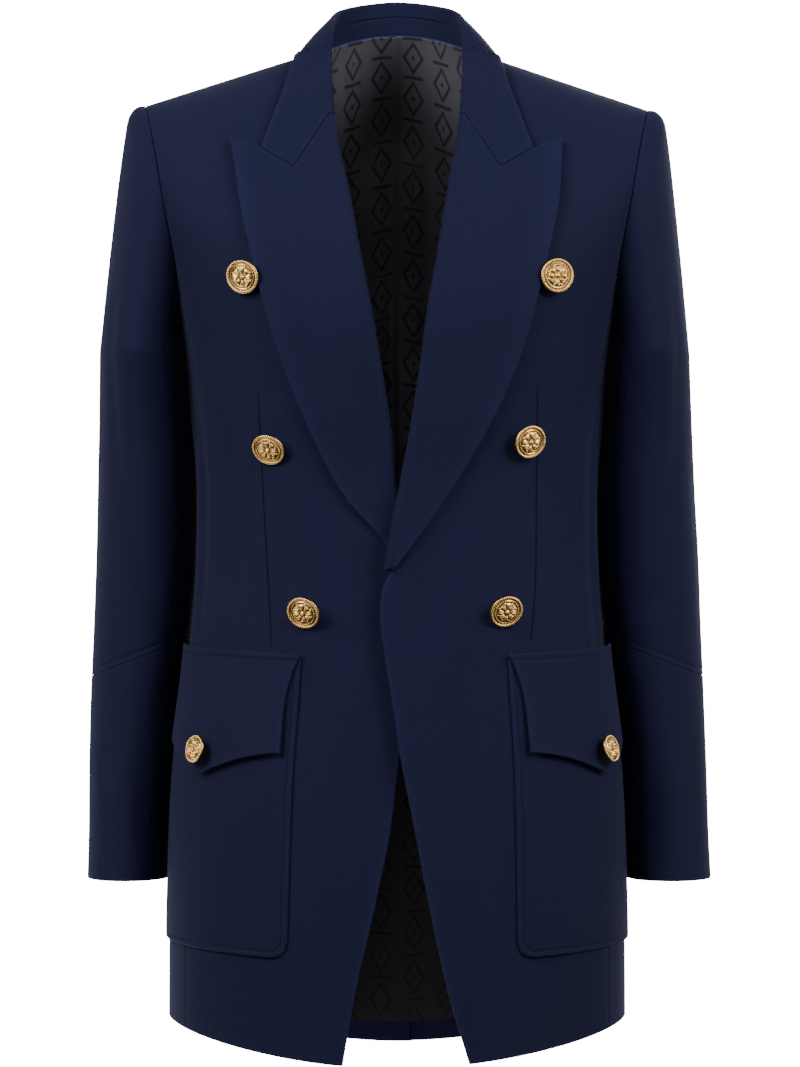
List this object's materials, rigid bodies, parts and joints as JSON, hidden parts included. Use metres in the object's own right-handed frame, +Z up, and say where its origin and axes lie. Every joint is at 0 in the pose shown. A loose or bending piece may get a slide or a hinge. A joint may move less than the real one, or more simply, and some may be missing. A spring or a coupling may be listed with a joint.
{
  "type": "double breasted blazer",
  "caption": "Long hollow worn double breasted blazer with peak lapels, flap patch pockets, elbow seams and domed gold buttons.",
  "frame": {"origin": "on the centre plane, level with the neck points and on the shoulder seams' plane, where the wearer's shoulders hold the garment up", "axes": "+Z up along the garment, -Y towards its front, +X to the right of someone who looks at its front"},
  "size_m": [0.4947, 0.2532, 0.8411],
  "materials": {
    "wool": "fine navy wool twill with a soft sheen",
    "lining": "black satin with a tonal woven figure",
    "gold_metal": "polished gold-coloured metal"
  },
  "bodies": {
    "root": {"front_left": "wool", "side_panel_left": "wool", "back_left": "wool", "lapel_left": "wool", "top_sleeve_upper_left": "wool", "top_sleeve_lower_left": "wool", "under_sleeve_upper_left": "wool", "under_sleeve_lower_left": "wool", "pocket_left": "wool", "flap_left": "wool", "button_left_top": "gold_metal", "button_left_middle": "gold_metal", "button_left_low": "gold_metal", "button_flap_left": "gold_metal", "front_right": "wool", "side_panel_right": "wool", "back_right": "wool", "lapel_right": "wool", "top_sleeve_upper_right": "wool", "top_sleeve_lower_right": "wool", "under_sleeve_upper_right": "wool", "under_sleeve_lower_right": "wool", "pocket_right": "wool", "flap_right": "wool", "button_right_top": "gold_metal", "button_right_middle": "gold_metal", "button_right_low": "gold_metal", "button_flap_right": "gold_metal", "upper_collar": "wool", "collar_stand": "wool", "lining_back": "lining"}
  },
  "joints": []
}
